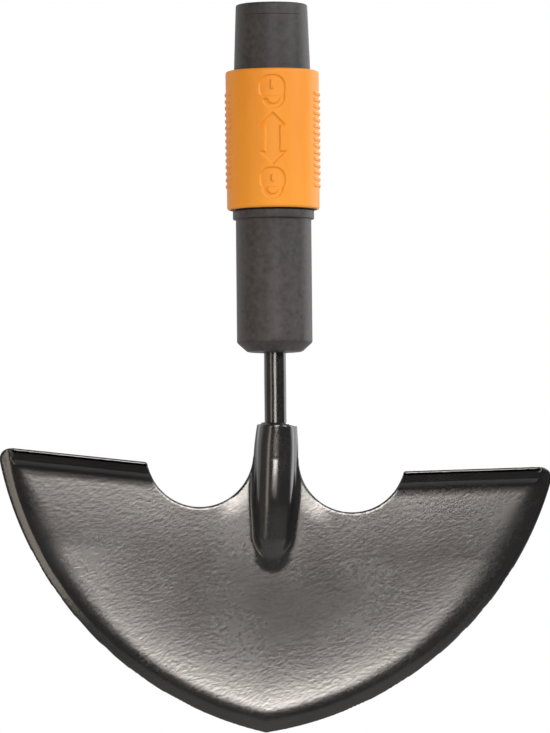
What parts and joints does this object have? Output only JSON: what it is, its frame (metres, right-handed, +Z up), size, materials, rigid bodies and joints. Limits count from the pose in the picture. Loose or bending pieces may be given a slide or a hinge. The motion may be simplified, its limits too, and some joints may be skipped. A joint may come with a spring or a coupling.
{
  "type": "half moon edger",
  "caption": "Half moon lawn edger head: pressed steel blade with curved cutting edge, foot treads and a ridged neck on a steel rod, with a sliding sleeve coupling that locks on a long handle.",
  "frame": {"origin": "on the shank's axis, in the mouth of the handle socket", "axes": "+Z up the shank and out of the handle socket, +X to the right of the front view, front with the ridge and the treads towards -Y"},
  "size_m": [0.2254, 0.0384, 0.2988],
  "materials": {
    "black_coat": "semi-gloss black powder coat with a fine orange-peel texture",
    "body_plastic": "dark warm grey fibre-filled moulding with a faint mottled sheen",
    "orange_plastic": "satin orange moulding",
    "spring_steel": "bright drawn and punched spring steel",
    "ball_steel": "polished bearing balls"
  },
  "bodies": {
    "head": {"edger_blade": "black_coat", "shank_rod": "black_coat", "mouth_weld": "black_coat", "seam_weld_left": "black_coat", "seam_weld_right": "black_coat", "coupling_body": "body_plastic", "retaining_ring": "spring_steel", "spring_washer": "spring_steel", "return_spring": "spring_steel"},
    "sleeve": {"locking_sleeve": "orange_plastic", "sleeve_cap": "orange_plastic"},
    "ball_1": {"lock_ball_1": "ball_steel"},
    "ball_2": {"lock_ball_2": "ball_steel"},
    "ball_3": {"lock_ball_3": "ball_steel"}
  },
  "joints": [
    {"name": "sleeve_slide", "type": "slide", "parent": "head", "child": "sleeve", "axis": [0, 0, 1], "range_m": [0, 0.01], "stiffness_N_per_m": 150, "springref_m": -0.02, "deforming": ["return_spring"]},
    {"name": "ball_1_slide", "type": "slide", "parent": "head", "child": "ball_1", "axis": [0, 1, 0], "range_m": [0, 0.0015]},
    {"name": "ball_2_slide", "type": "slide", "parent": "head", "child": "ball_2", "axis": [-0.866, -0.5, 0], "range_m": [0, 0.0015]},
    {"name": "ball_3_slide", "type": "slide", "parent": "head", "child": "ball_3", "axis": [0.866, -0.5, 0], "range_m": [0, 0.0015]}
  ],
  "couplings": [
    {"joint": "ball_1_slide", "follows": "sleeve_slide", "ratio": 0.15},
    {"joint": "ball_2_slide", "follows": "sleeve_slide", "ratio": 0.15},
    {"joint": "ball_3_slide", "follows": "sleeve_slide", "ratio": 0.15}
  ]
}
